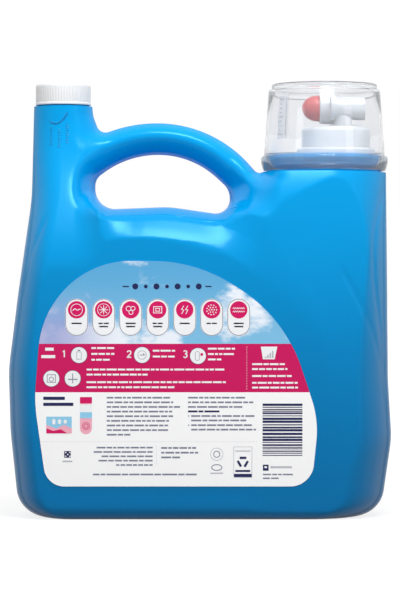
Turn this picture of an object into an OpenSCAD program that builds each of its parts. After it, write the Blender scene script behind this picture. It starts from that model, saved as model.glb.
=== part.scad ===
/* [Body] */
// Widest part of the bottle, side to side
body_w = 247; // [235:1:260]
// Depth of the body, front to back
body_depth = 106; // [96:1:112]
// Height of the flat shoulder that carries the dosing cup
shoulder_z = 222; // [215:1:228]
// Thickness of the blown wall
wall = 1.4; // [1:0.1:1.7]
// Depth of the flat label panels below the fullest part of the body
panel_recess = 0.8; // [0.6:0.1:1]
// Radius round the foot, between the base and the front
foot_r = 9; // [6:1:12]

/* [Handle] */
// Depth of the handle, front to back
handle_depth = 31; // [26:1:36]
// Height of the top of the handle
handle_top = 254.3; // [250:0.5:260]
// Height of the top of the finger hole
hole_top = 233.7; // [230:0.5:236]
// Height of the bottom of the finger hole
hole_bottom = 199; // [196:0.5:203]

/* [Vent column] */
// Distance of the vent column's axis from the left side of the body
vent_inset = 34.6; // [32.5:0.1:37]
// Diameter of the column at its top
column_dia = 37.8; // [36:0.2:40]
// Height of the column's flat top
column_top = 264.9; // [262:0.1:268]
// Outer diameter of the vent neck
vent_neck_dia = 30; // [28:0.2:31]
// Height of the vent neck above the column
vent_neck_h = 11.4; // [9:0.2:13]

/* [Vent cap] */
// Outer diameter of the vent cap
cap_dia = 36; // [35.4:0.1:38]
// Height of the vent cap
cap_h = 14; // [13:0.2:16]
// Thickness of the cap's skirt, without its ribs
cap_wall = 1.5; // [1.2:0.1:1.8]
// Number of grip ribs round the cap
cap_ribs = 60; // [40:2:72]
// Height of the plain lip under the ribs
cap_lip = 1.6; // [1:0.1:2.5]
// Thickness of the sealing liner
liner_t = 1.2; // [0.8:0.1:1.6]

/* [Dosing cup] */
// Distance of the cup's axis from the right side of the body
cup_inset = 42.7; // [41.5:0.1:44]
// Outer diameter of the cup just above its skirt
cup_dia = 78.2; // [77.6:0.1:80]
// Outer diameter of the cup's closed end
cup_end_dia = 68.4; // [66:0.2:70]
// Free height over the tap inside the closed end of the cup
cup_room = 1.9; // [0.8:0.1:6]
// Thickness of the cup's wall
cup_wall = 1.3; // [1:0.1:1.5]
// Diameter of the skirt at its widest
skirt_dia = 82.4; // [81.6:0.1:84]

/* [Collar and spout neck] */
// Diameter of the collar that the cup fits over
collar_dia = 72.6; // [71:0.2:73.4]
// Height of the collar above the shoulder
collar_h = 9.4; // [8:0.1:10]
// How far the snap bead stands out from the collar
bead_out = 1.1; // [0.8:0.1:1.2]
// Distance of the spout neck's axis from the cup's axis
spout_offset = 7.5; // [6.5:0.1:8]
// Outer diameter of the spout neck
spout_dia = 39; // [37:0.2:40]
// Height of the spout neck above the collar
spout_h = 16.6; // [14:0.2:17]

/* [Tap closure] */
// Outer diameter of the closure that holds the tap
closure_dia = 44.6; // [44:0.1:46]
// Diameter of the closure's flange
flange_dia = 50.4; // [49:0.1:52]
// Height of the closure's flange
flange_h = 5.4; // [4:0.1:6]
// Thickness of the closure's walls
closure_wall = 1.6; // [1.3:0.1:1.9]
// Thickness of the closure's gasket
gasket_t = 1.6; // [1.2:0.1:2]

/* [Tap] */
// Height of the tap's barrel axis above the closure
tap_rise = 13.7; // [12.6:0.1:15]
// Outer diameter of the barrel and nozzle
barrel_dia = 17.2; // [16.6:0.1:18]
// Inner diameter of the barrel and nozzle
barrel_bore = 13.6; // [13:0.1:14]
// Length of the nozzle beyond the opened seal
nozzle_room = 1.3; // [0.8:0.1:2]
// Distance of the barrel's inlet neck from the spout neck's axis
inlet_offset = 4.1; // [3.6:0.1:4.7]
// Outer diameter of the inlet neck
inlet_dia = 13.2; // [12.6:0.1:14]
// Span of the two finger wings
wing_span = 46; // [40:1:50]
// Width of each finger wing
wing_w = 18; // [16:0.5:19]
// Thickness of the wing plate
wing_t = 2.7; // [2.2:0.1:3.2]

/* [Button and valve] */
// Diameter of the push button
button_dia = 19.2; // [18.6:0.1:19.4]
// How far the button stands out of its ring
button_out = 11.2; // [10:0.2:12]
// Outer diameter of the ring that holds the button
ring_dia = 22.8; // [22.6:0.1:23]
// Height of the ring
ring_h = 6.9; // [6.7:0.1:7.2]
// Travel of the button
button_travel = 4; // [3:0.5:4]
// Diameter of the valve stem
stem_dia = 4; // [3:0.2:4.4]
// Diameter of the valve seal
seal_dia = 12; // [11:0.1:12.6]
// Thickness of the valve seal
seal_t = 2.4; // [1.8:0.1:2.6]

/* [Label] */
// Width of the back label
label_w = 177; // [170:1:182]
// Height of the back label
label_h = 143.3; // [138:0.1:145]
// Height of the label's lower edge above the base
label_z = 21.4; // [19:0.1:22]
// Distance of the label's middle from the middle of the bottle
label_x = -15.4; // [-16:0.1:-13]
// Thickness of the label
label_t = 0.3; // [0.2:0.05:0.4]
// Margin of bare panel round the label
label_margin = 1.2; // [0.8:0.1:2]

/* [Hidden] */
$fn = 64;

// Clearance between pieces that move against each other
gap = 0.3;
// Overlap that lets two shapes join into one piece
merge = 0.4;
half_w = body_w / 2;
half_depth = body_depth / 2;
vent_x = half_w - vent_inset;
cup_x = half_w - cup_inset;
spout_x = cup_x + spout_offset;
panel_y = half_depth - panel_recess;
handle_half = handle_depth / 2;
column_r = column_dia / 2;
shoulder_r = cup_dia / 2 + 0.9;
// Radius of the round seat below the cup
seat_r = shoulder_r - 0.1;
collar_top = shoulder_z + collar_h;
spout_top = collar_top + spout_h;
vent_neck_top = column_top + vent_neck_h;
blue = "#0a8fd6";
// Thickness of the two necks, which are moulded thicker than the body
neck_wall = 2.1;
// Depth below the shoulder to which the round seat of the cup reaches
shoulder_drop = 14;
// Thread of the vent neck
thread_out = 0.7;
thread_pitch = 4.2;
// Room for the closure's thread round the spout neck
thread_room = 1.1;
rib_out = 0.4;
cap_round = 2;
cap_gap = 0.8;
// Heights where the body starts to narrow towards the column and towards the shoulder
column_taper_z = 0.676 * shoulder_z;
shoulder_taper_z = 0.743 * shoulder_z;
// Places where the column's and the shoulder's forms fade into the handle's
column_fade_x = -vent_x + 8.9;
column_fade = 25;
shoulder_fade_x = cup_x - 62.8;
shoulder_fade = 34;
// Height over which the body narrows to the handle, and where that starts below the hole
handle_fade = 30;
handle_start = 14;
// How much deeper than the handle the body is along the hole's lower edge, the height
// above that edge where this starts to go, and the height over which it goes
rim_extra = 22;
rim_start = 3;
rim_fade = 22;
// Ledge round the finger hole: its width, and the width of the steep step behind it
ledge_w = 6;
ledge_step = 13;
// Widths over which the surface turns in at the handle's top, the hole and the right side
ridge_turn = 11;
hole_turn = 11.5;
side_turn = 34;
cap_top_t = column_top + cap_gap + cap_h - vent_neck_top - 2 * gap - liner_t;
closure_top = spout_top + gasket_t + closure_wall;
tap_z = closure_top + tap_rise;
cup_top = tap_z + ring_dia / 2 + cup_room + cup_wall;
// Places along the tap's axis, from the finger wings to the nozzle's end
wing_x = spout_x - 3.9;
inlet_x = spout_x + inlet_offset;
seat_x = spout_x + 10.7;
nozzle_x = seat_x + gap + seal_t + button_travel + nozzle_room;
seat_t = 1.2;
ring_lip = 1.2;
flange_r = button_dia / 2 + 0.6;
button_flange = 1;
button_wall = 1.6;
button_x = wing_x - ring_h - button_out;

// Smooth step from 0 to 1
function ease(t) = let(u = min(1, max(0, t))) u * u * (3 - 2 * u);
// Rise of a quarter ellipse from an edge, where t is the share of its width
function rounded(t) = let(u = 1 - min(1, max(0, t))) sqrt(1 - u * u);
function mix(a, b, t) = a + (b - a) * t;
function unit(v) = v / norm(v);
function cross2(a, b) = a[0] * b[1] - a[1] * b[0];

// Arc that rounds corner p between its neighbours a and b, as points
function corner(a, p, b) =
    let(r = p[2], c = [p[0], p[1]], u = unit([a[0], a[1]] - c), v = unit([b[0], b[1]] - c),
        half = acos(u * v) / 2, turn = 180 - 2 * half, side = cross2(u, v) < 0 ? 1 : -1,
        start = c + u * r / tan(half), mid = c + unit(u + v) * r / sin(half),
        first = atan2(start[1] - mid[1], start[0] - mid[0]), n = max(2, ceil(turn / 9)))
    r == 0 ? [c] : [for (i = [0:n]) mid + r * [cos(first + side * turn * i / n), sin(first + side * turn * i / n)]];
function corner_of(list, i) =
    let(n = len(list)) corner(list[(i + n - 1) % n], list[i], list[(i + 1) % n]);
function last(list) = list[len(list) - 1];
// Length along a line of points, up to each point
function lengths(pts, i = 0, sum = 0) =
    i == len(pts) - 1 ? [sum] : concat([sum], lengths(pts, i + 1, sum + norm(pts[i + 1] - pts[i])));
// Points at the given shares of the length of a line of points
function along(pts, shares) =
    let(run = lengths(pts), n = len(pts), xs = [for (i = [0:n - 1]) [run[i], pts[i][0]]],
        ys = [for (i = [0:n - 1]) [run[i], pts[i][1]]])
    [for (s = shares) [lookup(s * last(run), xs), lookup(s * last(run), ys)]];

// Corners of the bottle's silhouette from the front: x, z and corner radius.
// They start at the top of the vent column and go down its outer side.
SIDE = [
    [-vent_x - column_r, column_top, 0],
    [-0.885 * half_w, 0.923 * shoulder_z, 150],
    [-0.957 * half_w, 0.640 * shoulder_z, 170],
    [-1.005 * half_w, 0.428 * shoulder_z, 85],
    [-0.996 * half_w, 0.248 * shoulder_z, 120],
    [-0.949 * half_w, 0, 19],
    [0.947 * half_w, 0, 19],
    [1.006 * half_w, 0.225 * shoulder_z, 55],
    [0.988 * half_w, 0.396 * shoulder_z, 90],
    [cup_x + shoulder_r, shoulder_z, 0],
    [cup_x - shoulder_r - 4, shoulder_z, 5],
    [0.0705 * half_w, handle_top, 80],
    [-0.3506 * half_w, handle_top, 88],
    [-vent_x + column_r + 5.1, handle_top - 7.6, 6],
    [-vent_x + column_r + 0.6, column_top - 6, 14],
    [-vent_x + column_r, column_top, 0]];
// Corners of the finger hole, from the middle of its top, round the same way
HOLE = [
    [-0.375 * half_w, hole_top, 59],
    [-0.5506 * half_w, hole_top - 15.6, 9],
    [-0.5506 * half_w, hole_bottom - 1, 13],
    [-0.162 * half_w, hole_bottom + 0.9, 60],
    [0.1563 * half_w, hole_bottom - 4.8, 9.3],
    [0.1563 * half_w, hole_bottom + 12, 12.5],
    [-0.0421 * half_w, hole_top, 56]];
// Stretches of the silhouette: first and last corner, number of steps, share of the
// hole's edge where the stretch begins, and 1 where the steps crowd to both ends
STRETCHES = [
    [0, 5, 13, 0.236, 0], [5, 5, 5, 0.279, 0], [5, 6, 13, 0.316, 1], [6, 6, 5, 0.600, 0],
    [6, 9, 11, 0.625, 0], [9, 10, 9, 0.665, 1], [10, 10, 3, 0.745, 0], [10, 13, 14, 0.775, 0],
    [13, 13, 3, 1.144, 0], [13, 15, 4, 1.172, 0], [15, 0, 8, 1.207, 1], [0, 0, 0, 1.236, 0]];

// Line of points from corner i to corner j, or round corner i where they are the same
function stretch(i, j) =
    let(from = corner_of(SIDE, i), to = corner_of(SIDE, j), n = len(SIDE), stop = j < i ? j + n : j)
    i == j ? from : concat([last(from)],
        [for (k = [i + 1:1:stop - 1]) each corner_of(SIDE, k % n)], [to[0]]);
function shares(s) = [for (i = [0:1:s[2] - 1]) s[4] == 1 ? (1 - cos(180 * i / s[2])) / 2 : i / s[2]];
function outer_line() = [for (s = STRETCHES) if (s[2] > 0) each along(stretch(s[0], s[1]), shares(s))];
function hole_round() = let(pts = [for (i = [0:len(HOLE) - 1]) each corner_of(HOLE, i)]) concat(pts, [pts[0]]);
function hole_line() =
    along(hole_round(), [for (k = [0:len(STRETCHES) - 2]) let(s = STRETCHES[k], next = STRETCHES[k + 1])
        for (u = shares(s)) let(v = mix(s[3], next[3], u)) v < 1 ? v : v - 1]);
// Closed line moved sideways by t, to the left of its direction
function moved(pts, t) =
    let(n = len(pts))
    [for (i = [0:n - 1]) let(a = unit(pts[i] - pts[(i + n - 1) % n]), b = unit(pts[(i + 1) % n] - pts[i]),
        na = [-a[1], a[0]], nb = [-b[1], b[0]]) pts[i] + (na + nb) * t / (1 + na * nb)];

// Distance from p to a line of points
function reach(p, pts) =
    min([for (i = [0:len(pts) - 2]) let(a = pts[i], d = pts[i + 1] - a,
        t = min(1, max(0, (p - a) * d / (d * d)))) norm(p - a - d * t)]);

// Depth of the body before its edges are rounded, at a distance from the finger hole
function fullness(x, z, from_hole) =
    let(left = mix(half_depth, column_r, ease((z - column_taper_z) / (column_top - 8 - column_taper_z))),
        right = mix(half_depth, shoulder_r, ease((z - shoulder_taper_z) / (shoulder_z + 2 - shoulder_taper_z))),
        middle = mix(half_depth, handle_half, ease((z - hole_bottom + handle_start) / handle_fade)),
        on_left = 1 - ease((x - column_fade_x) / column_fade),
        on_right = ease((x - shoulder_fade_x) / shoulder_fade),
        aim = left * on_left + right * on_right + middle * (1 - on_left - on_right),
        rim = handle_half + rim_extra * (1 - ease((z - hole_bottom - rim_start) / rim_fade)))
    rim + (max(aim, rim) - rim) * ease((from_hole - ledge_w) / ledge_step);

// Half depth of the bottle at x, z for a surface that lies t inside the outer one
function depth(x, z, t, left_side, right_side, top_line, hole_pts) =
    let(from_top = reach([x, z], top_line), from_hole = reach([x, z], hole_pts),
        right_r = mix(side_turn, shoulder_r, ease((z - shoulder_taper_z) / (shoulder_z - 7 - shoulder_taper_z))),
        top_r = x < -vent_x + column_r + 10
            ? mix(column_r, ridge_turn, ease((x + vent_x - ridge_turn) / (column_r - 1)))
            : mix(ridge_turn, shoulder_r, ease((x - shoulder_fade_x + 10) / (shoulder_r + 20))),
        edges = rounded((x - lookup(z - t, left_side) - t) / (column_r + 1 - t))
            * rounded((lookup(z - t, right_side) - x - t) / (right_r - t))
            * rounded((from_top - t) / (top_r - t)) * rounded((from_hole - t) / (hole_turn - t)),
        foot = 1 - (foot_r / half_depth) * (1 - rounded((z - t) / (foot_r - t))))
    (fullness(x, z, from_hole - t) - t * (2 - ease((from_hole - shoulder_fade + 9) / handle_fade))) * edges * foot;

// Closed skin of the bottle, t inside its outer face: rings run from the silhouette to
// the finger hole over the front, and back over the rear
module skin(t, edge_steps, mid_steps, hole_steps) {
    outline = outer_line();
    outer = moved(outline, t);
    inner = moved(hole_line(), -t);
    left_side = [for (p = concat(stretch(0, 5), corner_of(SIDE, 5))) [p[1], p[0]]];
    right_side = [for (p = concat(corner_of(SIDE, 6), stretch(6, 9))) [p[1], p[0]]];
    top_line = concat([[cup_x - shoulder_r, 400]], corner_of(SIDE, 10), stretch(10, 13),
        corner_of(SIDE, 13), stretch(13, 15), [[-vent_x + column_r, 400]]);
    hole_pts = hole_round();
    n = len(outer);
    rings = edge_steps + mid_steps + hole_steps;
    front = [for (k = [0:n - 1])
        let(o = outer[k], h = inner[k], reach_k = norm(h - o), base = outline[k][1] < 0.01,
            flat_top = abs(outline[k][1] - column_top) < 0.01 && abs(outline[k][0] + vent_x) < column_r - 0.1
                || abs(outline[k][1] - shoulder_z) < 0.01 && abs(outline[k][0] - cup_x) < seat_r,
            edge_r = min(0.46 * reach_k, flat_top ? 16 : outline[k][0] > 60 ? 30 : 20),
            hole_r = min(0.5 * reach_k, 31))
        [for (j = [1:rings - 1])
            let(d = j <= edge_steps
                ? (base || flat_top
                    ? (j == 1 ? 0 : edge_r * (1 - cos(90 * (j - 1) / (edge_steps - 1))))
                    : edge_r * (1 - cos(90 * j / edge_steps)))
                : j <= edge_steps + mid_steps
                    ? mix(edge_r, reach_k - hole_r, (j - edge_steps) / mid_steps)
                    : reach_k - hole_r * (1 - cos(90 * (rings - j) / hole_steps)),
                p = o + (h - o) * d / reach_k)
            [p[0], depth(p[0], p[1], t, left_side, right_side, top_line, hole_pts), p[1]]]];
    // Each row of points goes once round the section at one place of the outline
    points = [for (k = [0:n - 1]) each concat(
        [[outer[k][0], 0, outer[k][1]]],
        [for (p = front[k]) [p[0], -p[1], p[2]]],
        [[inner[k][0], 0, inner[k][1]]],
        [for (j = [rings - 2:-1:0]) front[k][j]])];
    m = 2 * rings;
    faces = [for (k = [0:n - 1]) for (j = [0:m - 1])
        let(a = k * m + j, b = k * m + (j + 1) % m, c = (k + 1) % n * m + (j + 1) % m, d = (k + 1) % n * m + j)
        each (norm(points[a] - points[c]) < norm(points[b] - points[d])
            ? [[a, b, c], [a, c, d]] : [[a, b, d], [b, c, d]])];
    polyhedron(points, faces);
}

// Corners of the label: shares of its width and height, and radius as a share of its height
LABEL = [
    [-0.462, 0, 0.09], [-0.505, 0.373, 0.61], [-0.482, 0.744, 0.42], [-0.314, 1.003, 0.40],
    [0.073, 1.003, 0.66], [0.391, 0.749, 0.66], [0.520, 0.293, 0.44], [0.491, 0, 0.105]];
function label_corner(i) =
    let(c = LABEL[i % len(LABEL)])
    [label_x + c[0] * label_w, label_z + c[1] * label_h, c[2] * label_h];
function label_line(margin) =
    let(n = len(LABEL), pts = [for (i = [0:n - 1])
        each corner(label_corner(i + n - 1), label_corner(i), label_corner(i + 1))])
    moved(pts, margin);
module label_plate(margin, y0, y1) {
    translate([0, y1, 0])
        rotate([90, 0, 0])
            linear_extrude(y1 - y0)
                polygon(label_line(margin));
}

// Helical thread on a neck, as a chain of short ridges
module thread(r, out, pitch, turns) {
    per_turn = 12;
    for (i = [0:per_turn * turns - 1])
        hull()
            for (k = [i, i + 1])
                rotate([0, 0, 360 * k / per_turn])
                    translate([0, 0, pitch * k / per_turn])
                        rotate([90, 0, 0])
                            linear_extrude(0.02)
                                polygon([[r - merge, -out - merge], [r + out, -0.3], [r + out, 0.3], [r - merge, out + merge]]);
}

module ring(r_in, r_out, z0, z1) {
    rotate_extrude()
        polygon([[r_in, z0], [r_out, z0], [r_out, z1], [r_in, z1]]);
}

// Blown bottle: body, handle, vent column and its neck in one hollow piece
module bottle() {
    $fn = 48;
    color(blue)
        difference() {
            union() {
                skin(0, 4, 2, 5);
                translate([cup_x, 0, shoulder_z - shoulder_drop])
                    cylinder(h = shoulder_drop, r = seat_r);
                translate([-vent_x, 0, column_top - merge])
                    cylinder(h = vent_neck_h + merge, d = vent_neck_dia);
                translate([-vent_x, 0, column_top + 3])
                    thread(vent_neck_dia / 2, thread_out, thread_pitch, 1.25);
            }
            skin(wall, 4, 2, 5);
            translate([cup_x, 0, shoulder_z - shoulder_drop])
                cylinder(h = shoulder_drop - wall, r = seat_r - wall);
            translate([-vent_x, 0, column_top - 2 * wall])
                cylinder(h = vent_neck_h + 3 * wall, d = vent_neck_dia - 2 * neck_wall);
            translate([cup_x, 0, shoulder_z - 2 * wall])
                cylinder(h = 3 * wall, d = collar_dia - 2 * wall);
            label_plate(label_margin, -half_depth - 1, -panel_y);
            label_plate(label_margin, panel_y, half_depth + 1);
        }
}

// Collar with its snap bead, and the spout neck, moulded on the bottle's shoulder
module spout_neck() {
    r = collar_dia / 2;
    bead_z = shoulder_z + collar_h / 2;
    color(blue)
        difference() {
            union() {
                translate([cup_x, 0, 0])
                    rotate_extrude()
                        polygon([[0, shoulder_z], [r, shoulder_z], [r, bead_z - 1.4],
                            [r + bead_out, bead_z - 0.4], [r + bead_out, bead_z + 0.4], [r, bead_z + 1.4],
                            [r, collar_top - 0.8], [r - 0.8, collar_top], [0, collar_top]]);
                translate([spout_x, 0, collar_top - merge])
                    cylinder(h = spout_h + merge, d = spout_dia);
            }
            translate([cup_x, 0, shoulder_z - 1])
                cylinder(h = collar_h - wall + 1, d = collar_dia - 2 * wall);
            translate([spout_x, 0, collar_top - 2 * wall])
                cylinder(h = spout_h + 3 * wall, d = spout_dia - 2 * neck_wall);
        }
}

// Back label: a thin film on the flat panel
module back_label() {
    color("#7cc4ee")
        label_plate(0, -panel_y - label_t, -panel_y);
}

// Inverted dosing cup with the skirt that closes on the collar
module dosing_cup() {
    r0 = cup_dia / 2;
    r1 = cup_end_dia / 2;
    r_skirt = skirt_dia / 2;
    z0 = shoulder_z + 1.2;
    z_skirt = shoulder_z + 11.5;
    z_ring = cup_top - 3.5;
    color([0.86, 0.9, 0.94, 0.4])
        translate([cup_x, 0, 0])
            rotate_extrude()
                polygon([
                    [0, cup_top], [r1 - 1, cup_top], [r1, cup_top - 1], [r1, z_ring], [r1 + 1.9, z_ring - 0.8],
                    [r0, z_skirt], [r_skirt - 0.6, z_skirt - 1.2], [r_skirt, z_skirt - 3],
                    [r_skirt - 0.3, z_skirt - 6], [r0 + 0.4, z0], [r0 - cup_wall, z0],
                    [r0 - cup_wall, z_skirt], [r1 + 1.9 - cup_wall, z_ring - 2],
                    [r1 - cup_wall, z_ring - 1], [r1 - cup_wall, cup_top - cup_wall], [0, cup_top - cup_wall]]);
}

// Screw cap of the vent neck, with grip ribs over a plain lip
module vent_cap() {
    z0 = column_top + cap_gap;
    z1 = z0 + cap_h;
    r = cap_dia / 2;
    root = r - rib_out;
    step = 360 / cap_ribs;
    color("white")
        translate([-vent_x, 0, 0])
            difference() {
                union() {
                    rotate_extrude()
                        polygon(concat([[0, z0], [r, z0], [r, z0 + cap_lip], [root, z0 + cap_lip]],
                            [for (a = [0:15:90]) [root - cap_round * (1 - cos(a)), z1 - cap_round * (1 - sin(a))]],
                            [[0, z1]]));
                    translate([0, 0, z0 + cap_lip - 0.3])
                        linear_extrude(cap_h - cap_lip - cap_round + 0.3)
                            polygon([for (i = [0:cap_ribs - 1])
                                for (c = [[root - 0.5, 0], [r - 0.1, 0.25], [r - 0.1, 0.55], [root - 0.5, 0.8]])
                                    c[0] * [cos(step * (i + c[1])), sin(step * (i + c[1]))]]);
                }
                translate([0, 0, z0 - 1])
                    cylinder(h = cap_h - cap_top_t + 1, r = root - cap_wall);
            }
}

// Sealing liner that sits in the cap, just over the vent neck
module vent_liner() {
    color("whitesmoke")
        translate([-vent_x, 0, vent_neck_top + gap])
            cylinder(h = liner_t, d = vent_neck_dia);
}

// Closure that screws on the spout neck and holds the tap
module tap_closure() {
    r = closure_dia / 2;
    rf = flange_dia / 2;
    z0 = collar_top + gap;
    z1 = closure_top;
    color("#dfe4ea")
        difference() {
            translate([spout_x, 0, 0])
                rotate_extrude()
                    polygon(concat(
                        [[spout_dia / 2 + thread_room, z0], [rf, z0], [rf, z0 + flange_h - 1.4], [rf - 1.4, z0 + flange_h], [r, z0 + flange_h]],
                        [for (a = [0:15:90]) [r - 3 * (1 - cos(a)), z1 - 3 * (1 - sin(a))]],
                        [[0, z1], [0, z1 - closure_wall], [spout_dia / 2 + thread_room, z1 - closure_wall]]));
            translate([inlet_x, 0, z1 - closure_wall - 1])
                cylinder(h = closure_wall + 2, d = inlet_dia + 2 * gap);
        }
}

// Flat gasket between the spout neck's rim and the closure
module closure_gasket() {
    color("#9aa0a6")
        translate([spout_x, 0, spout_top])
            ring(spout_dia / 2 - neck_wall - 1.5, spout_dia / 2, 0, gasket_t);
}

// Turns a shape made along Z so that it lies along X, on the axis of the tap
module on_tap_axis(x) {
    translate([x, 0, tap_z])
        rotate([0, 90, 0])
            children();
}

// Body of the tap: wing plate, barrel with its valve seat, nozzle, and inlet neck
module tap_body() {
    web_x = wing_x + wing_t;
    color("#eef1f4")
        difference() {
            union() {
                on_tap_axis(wing_x)
                    linear_extrude(wing_t) {
                        circle(d = ring_dia);
                        for (side = [-1, 1])
                            translate([0, side * (wing_span - wing_w) / 2])
                                circle(d = wing_w);
                        square([wing_w, wing_span - wing_w], center = true);
                    }
                on_tap_axis(web_x)
                    cylinder(h = nozzle_x - web_x, d = barrel_dia);
                translate([inlet_x, 0, closure_top - closure_wall - 1.5])
                    cylinder(h = tap_z - closure_top + closure_wall + 1.5, d = inlet_dia);
                for (z = [closure_top, closure_top - closure_wall - 1.5])
                    translate([inlet_x, 0, z])
                        cylinder(h = 1.5, d = inlet_dia + 4);
            }
            on_tap_axis(wing_x - 1)
                cylinder(h = wing_t + 2, d = stem_dia + 2 * gap);
            on_tap_axis(web_x)
                cylinder(h = seat_x - seat_t - web_x, d = barrel_bore);
            on_tap_axis(seat_x - seat_t - 1)
                cylinder(h = seat_t + 2, d = seal_dia - 2.8);
            on_tap_axis(seat_x)
                cylinder(h = nozzle_x - seat_x + 1, d = barrel_bore);
            translate([inlet_x, 0, closure_top - closure_wall - 2.5])
                cylinder(h = tap_z - closure_top + closure_wall - 2, d = inlet_dia - 4);
        }
}

// Ring that holds the button's flange on the wing plate
module button_ring() {
    r = ring_dia / 2;
    color("white")
        on_tap_axis(wing_x - ring_h)
            rotate_extrude()
                polygon([[button_dia / 2 + 0.25, 0.4], [button_dia / 2 + 0.65, 0], [r - 0.8, 0], [r, 0.8], [r, ring_h],
                    [flange_r + gap, ring_h], [flange_r + gap, ring_lip], [button_dia / 2 + 0.25, ring_lip]]);
}

// Domed rubber push button with a flange that the ring keeps in
module push_button() {
    r = button_dia / 2;
    tip = button_out + ring_lip + gap + button_flange;
    color("#d8402c")
        on_tap_axis(button_x)
            rotate_extrude()
                polygon(concat(
                    [for (a = [0:7.5:90]) [r * sin(a), r * (1 - cos(a))]],
                    [[r, tip - button_flange], [flange_r, tip - button_flange], [flange_r, tip],
                        [r - button_wall, tip]],
                    [for (a = [90:-7.5:0]) [(r - button_wall) * sin(a), r - (r - button_wall) * cos(a)]]));
}

// Stem that carries the button's push through the barrel to the seal
module valve_stem() {
    end_x = seat_x + gap + seal_t;
    color("white") {
        on_tap_axis(button_x + button_wall + gap)
            cylinder(h = end_x - button_x - button_wall - gap + 1, d = stem_dia);
        on_tap_axis(end_x)
            cylinder(h = 1.2, d = stem_dia + 2.4);
    }
}

// Soft seal that closes the valve seat
module valve_seal() {
    color("#5a5f66")
        on_tap_axis(seat_x + gap)
            ring(stem_dia / 2 + 0.05, seal_dia / 2, 0, seal_t);
}

bottle();
spout_neck();
back_label();
dosing_cup();
vent_cap();
vent_liner();
tap_closure();
closure_gasket();
tap_body();
button_ring();
push_button();
valve_stem();
valve_seal();
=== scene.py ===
import math

import bmesh
import bpy
import numpy as np
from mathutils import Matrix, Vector


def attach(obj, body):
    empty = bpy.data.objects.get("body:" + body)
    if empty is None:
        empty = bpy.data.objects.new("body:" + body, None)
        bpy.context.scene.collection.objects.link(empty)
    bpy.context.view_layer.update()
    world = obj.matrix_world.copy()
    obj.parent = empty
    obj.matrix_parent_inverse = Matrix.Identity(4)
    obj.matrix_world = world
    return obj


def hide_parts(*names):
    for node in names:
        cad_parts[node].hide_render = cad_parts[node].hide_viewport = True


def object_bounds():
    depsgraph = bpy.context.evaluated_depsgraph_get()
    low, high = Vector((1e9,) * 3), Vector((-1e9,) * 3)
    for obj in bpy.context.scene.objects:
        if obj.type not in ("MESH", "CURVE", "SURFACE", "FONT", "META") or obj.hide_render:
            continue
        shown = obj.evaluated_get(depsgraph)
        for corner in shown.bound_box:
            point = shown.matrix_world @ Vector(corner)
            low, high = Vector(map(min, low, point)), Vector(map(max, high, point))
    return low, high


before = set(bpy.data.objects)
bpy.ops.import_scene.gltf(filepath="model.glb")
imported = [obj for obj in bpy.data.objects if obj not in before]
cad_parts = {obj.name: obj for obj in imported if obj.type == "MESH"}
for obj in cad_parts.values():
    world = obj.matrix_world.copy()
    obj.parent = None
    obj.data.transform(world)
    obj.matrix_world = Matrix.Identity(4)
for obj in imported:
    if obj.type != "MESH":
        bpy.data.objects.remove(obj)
cad_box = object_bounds()
MM = 0.001

# Sizes of the bottle's form, in millimetres, the same as in the part's source
BODY_W = 247.0
BODY_DEPTH = 106.0
SHOULDER_Z = 222.0
PANEL_RECESS = 0.8
FOOT_R = 9.0
HANDLE_DEPTH = 31.0
HANDLE_TOP = 254.3
HOLE_TOP = 233.7
HOLE_BOTTOM = 199.0
VENT_X = 88.9
COLUMN_R = 18.9
COLUMN_TOP = 264.9
CUP_X = 80.8
SHOULDER_R = 40.0
SPOUT_X = 88.3
HALF_W = BODY_W / 2
HALF_DEPTH = BODY_DEPTH / 2
PANEL_Y = HALF_DEPTH - PANEL_RECESS
HANDLE_HALF = HANDLE_DEPTH / 2


# Outlines

def corner(a, p, b, step=3.0):
    """Points of the arc that rounds corner p, between its neighbours a and b."""
    c = np.array(p[:2], float)
    if p[2] == 0:
        return [c]
    u = np.array(a[:2], float) - c
    v = np.array(b[:2], float) - c
    u /= np.linalg.norm(u)
    v /= np.linalg.norm(v)
    half = math.acos(np.clip(u @ v, -1, 1)) / 2
    turn = math.pi - 2 * half
    side = 1 if u[0] * v[1] - u[1] * v[0] < 0 else -1
    start = c + u * p[2] / math.tan(half)
    mid = c + (u + v) / np.linalg.norm(u + v) * p[2] / math.sin(half)
    first = math.atan2(start[1] - mid[1], start[0] - mid[0])
    n = max(2, math.ceil(math.degrees(turn) / step))
    angles = [first + side * turn * i / n for i in range(n + 1)]
    return [mid + p[2] * np.array([math.cos(t), math.sin(t)]) for t in angles]


def corner_of(line, i):
    return corner(line[i - 1], line[i], line[(i + 1) % len(line)])


def rounded_line(line):
    return np.array([q for i in range(len(line)) for q in corner_of(line, i)])


def along(points, shares):
    """Points at the given shares of a line's length."""
    points = np.array(points)
    run = np.r_[0, np.cumsum(np.linalg.norm(np.diff(points, axis=0), axis=1))]
    at = np.array(shares) * run[-1]
    return np.c_[np.interp(at, run, points[:, 0]), np.interp(at, run, points[:, 1])]


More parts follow.
